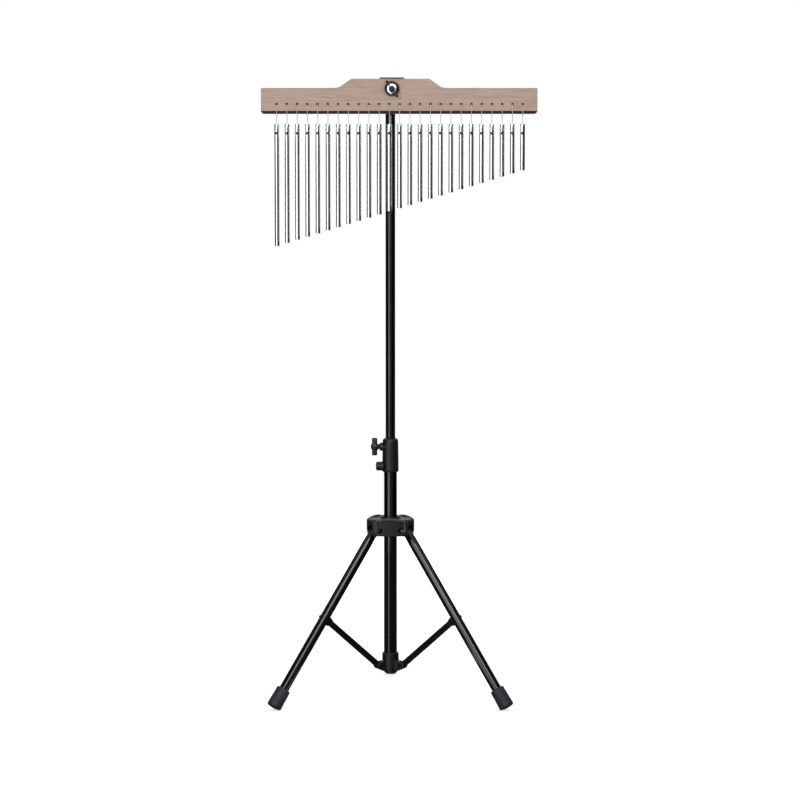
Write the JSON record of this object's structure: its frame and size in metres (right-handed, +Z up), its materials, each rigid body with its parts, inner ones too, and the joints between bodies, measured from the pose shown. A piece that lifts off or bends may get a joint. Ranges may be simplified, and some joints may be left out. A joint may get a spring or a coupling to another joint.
{
  "type": "bar chime on a tripod stand",
  "caption": "Row of hanging aluminium bars graded in length under a humped wooden beam, clamped to a telescoping post on a folding three-legged stand.",
  "frame": {"origin": "on the floor, under the middle of the whole object", "axes": "+Z up the post, +X along the beam from the long bars to the short ones, +Y away from the player"},
  "size_m": [0.529, 0.4128, 1.2088],
  "materials": {
    "bar_aluminium": "polished",
    "wood": "fine-grained, satin lacquer",
    "steel": "zinc-plated",
    "chrome": "polished",
    "black_enamel": "gloss black",
    "black_plastic": "moulded, satin",
    "rubber": "matt"
  },
  "bodies": {
    "stand": {"outer_post": "black_enamel", "clutch_collar": "black_plastic", "clutch_bolt": "steel", "hub": "black_plastic", "hub_pin_left": "black_enamel", "hub_pin_right": "black_enamel", "hub_pin_rear": "black_enamel"},
    "clutch_knob": {"clutch_knob": "black_plastic"},
    "mast": {"inner_post": "black_enamel", "inner_post_bush": "black_plastic", "beam_bracket": "steel", "beam": "wood", "clamp_cup_washer": "black_enamel", "clamp_dome_washer": "chrome"},
    "clamp_screw": {"clamp_screw": "black_enamel"},
    "clamp_handle": {"clamp_handle": "black_enamel"},
    "brace_left": {"brace_left": "black_enamel"},
    "brace_right": {"brace_right": "black_enamel"},
    "brace_rear": {"brace_rear": "black_enamel"},
    "leg_left": {"leg_left": "black_enamel", "foot_left": "rubber", "leg_clip_left": "black_enamel", "clip_pin_left": "black_enamel"},
    "leg_right": {"leg_right": "black_enamel", "foot_right": "rubber", "leg_clip_right": "black_enamel", "clip_pin_right": "black_enamel"},
    "leg_rear": {"leg_rear": "black_enamel", "foot_rear": "rubber", "leg_clip_rear": "black_enamel", "clip_pin_rear": "black_enamel"},
    "crown": {"crown": "black_plastic", "crown_pin_left": "steel", "crown_pin_right": "steel", "crown_pin_rear": "steel"},
    "bar_01": {"bar_01": "bar_aluminium"},
    "bar_02": {"bar_02": "bar_aluminium"},
    "bar_03": {"bar_03": "bar_aluminium"},
    "bar_04": {"bar_04": "bar_aluminium"},
    "bar_05": {"bar_05": "bar_aluminium"},
    "bar_06": {"bar_06": "bar_aluminium"},
    "bar_07": {"bar_07": "bar_aluminium"},
    "bar_08": {"bar_08": "bar_aluminium"},
    "bar_09": {"bar_09": "bar_aluminium"},
    "bar_10": {"bar_10": "bar_aluminium"},
    "bar_11": {"bar_11": "bar_aluminium"},
    "bar_12": {"bar_12": "bar_aluminium"},
    "bar_13": {"bar_13": "bar_aluminium"},
    "bar_14": {"bar_14": "bar_aluminium"},
    "bar_15": {"bar_15": "bar_aluminium"},
    "bar_16": {"bar_16": "bar_aluminium"},
    "bar_17": {"bar_17": "bar_aluminium"},
    "bar_18": {"bar_18": "bar_aluminium"},
    "bar_19": {"bar_19": "bar_aluminium"},
    "bar_20": {"bar_20": "bar_aluminium"},
    "bar_21": {"bar_21": "bar_aluminium"},
    "bar_22": {"bar_22": "bar_aluminium"},
    "bar_23": {"bar_23": "bar_aluminium"},
    "bar_24": {"bar_24": "bar_aluminium"},
    "bar_25": {"bar_25": "bar_aluminium"}
  },
  "joints": [
    {"name": "brace_left_hinge", "type": "hinge", "parent": "stand", "child": "brace_left", "pos_m": [-0.04038, -0.07461, 0.066], "axis": [-0.5, 0.866, 0], "range_deg": [0, 46]},
    {"name": "brace_right_hinge", "type": "hinge", "parent": "stand", "child": "brace_right", "pos_m": [0.00638, -0.07461, 0.066], "axis": [-0.5, -0.866, 0], "range_deg": [0, 46]},
    {"name": "brace_rear_hinge", "type": "hinge", "parent": "stand", "child": "brace_rear", "pos_m": [-0.017, -0.03411, 0.066], "axis": [1, 0, 0], "range_deg": [0, 46]},
    {"name": "leg_left_hinge", "type": "hinge", "parent": "brace_left", "child": "leg_left", "pos_m": [-0.13295, -0.12805, 0.15832], "axis": [0.5, -0.866, 0], "range_deg": [0, 75.54]},
    {"name": "leg_right_hinge", "type": "hinge", "parent": "brace_right", "child": "leg_right", "pos_m": [0.09895, -0.12805, 0.15832], "axis": [0.5, 0.866, 0], "range_deg": [0, 75.54]},
    {"name": "leg_rear_hinge", "type": "hinge", "parent": "brace_rear", "child": "leg_rear", "pos_m": [-0.017, 0.07277, 0.15832], "axis": [-1, 0, 0], "range_deg": [0, 75.54]},
    {"name": "crown_hinge", "type": "hinge", "parent": "leg_left", "child": "crown", "pos_m": [-0.04731, -0.07861, 0.333], "axis": [-0.5, 0.866, 0], "range_deg": [0, 29.54]},
    {"name": "height_slide", "type": "slide", "parent": "stand", "child": "mast", "axis": [0, 0, 1], "range_m": [-0.29, 0.06]},
    {"name": "knob_turn", "type": "hinge", "parent": "stand", "child": "clutch_knob", "pos_m": [-0.0468, -0.06111, 0.494], "axis": [-1, 0, 0], "range_deg": [0, 360]},
    {"name": "clamp_screw_turn", "type": "hinge", "parent": "mast", "child": "clamp_screw", "pos_m": [-0.014, -0.09651, 1.1875], "axis": [0, -1, 0], "range_deg": [0, 360]},
    {"name": "handle_slide", "type": "slide", "parent": "clamp_screw", "child": "clamp_handle", "axis": [-0.5807, 0, 0.8141], "range_m": [-0.0082, 0.0082]},
    {"name": "bar_01_swing", "type": "hinge", "parent": "mast", "child": "bar_01", "pos_m": [-0.2345, -0.08551, 1.158], "axis": [0, -1, 0], "range_deg": [-20, 2]},
    {"name": "bar_02_swing", "type": "hinge", "parent": "mast", "child": "bar_02", "pos_m": [-0.21488, -0.08551, 1.158], "axis": [0, -1, 0], "range_deg": [-2, 2.05]},
    {"name": "bar_03_swing", "type": "hinge", "parent": "mast", "child": "bar_03", "pos_m": [-0.19526, -0.08551, 1.158], "axis": [0, -1, 0], "range_deg": [-2.05, 2.1]},
    {"name": "bar_04_swing", "type": "hinge", "parent": "mast", "child": "bar_04", "pos_m": [-0.17564, -0.08551, 1.158], "axis": [0, -1, 0], "range_deg": [-2.1, 2.15]},
    {"name": "bar_05_swing", "type": "hinge", "parent": "mast", "child": "bar_05", "pos_m": [-0.15602, -0.08551, 1.158], "axis": [0, -1, 0], "range_deg": [-2.15, 2.25]},
    {"name": "bar_06_swing", "type": "hinge", "parent": "mast", "child": "bar_06", "pos_m": [-0.1364, -0.08551, 1.158], "axis": [0, -1, 0], "range_deg": [-2.25, 2.3]},
    {"name": "bar_07_swing", "type": "hinge", "parent": "mast", "child": "bar_07", "pos_m": [-0.11678, -0.08551, 1.158], "axis": [0, -1, 0], "range_deg": [-2.3, 2.35]},
    {"name": "bar_08_swing", "type": "hinge", "parent": "mast", "child": "bar_08", "pos_m": [-0.09715, -0.08551, 1.158], "axis": [0, -1, 0], "range_deg": [-2.35, 2.4]},
    {"name": "bar_09_swing", "type": "hinge", "parent": "mast", "child": "bar_09", "pos_m": [-0.07753, -0.08551, 1.158], "axis": [0, -1, 0], "range_deg": [-2.4, 2.5]},
    {"name": "bar_10_swing", "type": "hinge", "parent": "mast", "child": "bar_10", "pos_m": [-0.05791, -0.08551, 1.158], "axis": [0, -1, 0], "range_deg": [-2.5, 2.55]},
    {"name": "bar_11_swing", "type": "hinge", "parent": "mast", "child": "bar_11", "pos_m": [-0.03829, -0.08551, 1.158], "axis": [0, -1, 0], "range_deg": [-2.55, 2.65]},
    {"name": "bar_12_swing", "type": "hinge", "parent": "mast", "child": "bar_12", "pos_m": [-0.01867, -0.08551, 1.158], "axis": [0, -1, 0], "range_deg": [-2.65, 2.7]},
    {"name": "bar_13_swing", "type": "hinge", "parent": "mast", "child": "bar_13", "pos_m": [0.00095, -0.08551, 1.158], "axis": [0, -1, 0], "range_deg": [-2.7, 2.8]},
    {"name": "bar_14_swing", "type": "hinge", "parent": "mast", "child": "bar_14", "pos_m": [0.02057, -0.08551, 1.158], "axis": [0, -1, 0], "range_deg": [-2.8, 2.9]},
    {"name": "bar_15_swing", "type": "hinge", "parent": "mast", "child": "bar_15", "pos_m": [0.04019, -0.08551, 1.158], "axis": [0, -1, 0], "range_deg": [-2.9, 3]},
    {"name": "bar_16_swing", "type": "hinge", "parent": "mast", "child": "bar_16", "pos_m": [0.05981, -0.08551, 1.158], "axis": [0, -1, 0], "range_deg": [-3, 3.1]},
    {"name": "bar_17_swing", "type": "hinge", "parent": "mast", "child": "bar_17", "pos_m": [0.07943, -0.08551, 1.158], "axis": [0, -1, 0], "range_deg": [-3.1, 3.2]},
    {"name": "bar_18_swing", "type": "hinge", "parent": "mast", "child": "bar_18", "pos_m": [0.09905, -0.08551, 1.158], "axis": [0, -1, 0], "range_deg": [-3.2, 3.3]},
    {"name": "bar_19_swing", "type": "hinge", "parent": "mast", "child": "bar_19", "pos_m": [0.11868, -0.08551, 1.158], "axis": [0, -1, 0], "range_deg": [-3.3, 3.45]},
    {"name": "bar_20_swing", "type": "hinge", "parent": "mast", "child": "bar_20", "pos_m": [0.1383, -0.08551, 1.158], "axis": [0, -1, 0], "range_deg": [-3.45, 3.6]},
    {"name": "bar_21_swing", "type": "hinge", "parent": "mast", "child": "bar_21", "pos_m": [0.15792, -0.08551, 1.158], "axis": [0, -1, 0], "range_deg": [-3.6, 3.75]},
    {"name": "bar_22_swing", "type": "hinge", "parent": "mast", "child": "bar_22", "pos_m": [0.17754, -0.08551, 1.158], "axis": [0, -1, 0], "range_deg": [-3.75, 3.9]},
    {"name": "bar_23_swing", "type": "hinge", "parent": "mast", "child": "bar_23", "pos_m": [0.19716, -0.08551, 1.158], "axis": [0, -1, 0], "range_deg": [-3.9, 4.1]},
    {"name": "bar_24_swing", "type": "hinge", "parent": "mast", "child": "bar_24", "pos_m": [0.21678, -0.08551, 1.158], "axis": [0, -1, 0], "range_deg": [-4.1, 4.25]},
    {"name": "bar_25_swing", "type": "hinge", "parent": "mast", "child": "bar_25", "pos_m": [0.2364, -0.08551, 1.158], "axis": [0, -1, 0], "range_deg": [-4.25, 20]}
  ],
  "couplings": [
    {"joint": "brace_right_hinge", "follows": "brace_left_hinge", "ratio": 1},
    {"joint": "brace_rear_hinge", "follows": "brace_left_hinge", "ratio": 1},
    {"joint": "leg_left_hinge", "follows": "brace_left_hinge", "ratio": 1.64},
    {"joint": "leg_right_hinge", "follows": "brace_left_hinge", "ratio": 1.64},
    {"joint": "leg_rear_hinge", "follows": "brace_left_hinge", "ratio": 1.64},
    {"joint": "crown_hinge", "follows": "brace_left_hinge", "ratio": 0.64}
  ]
}
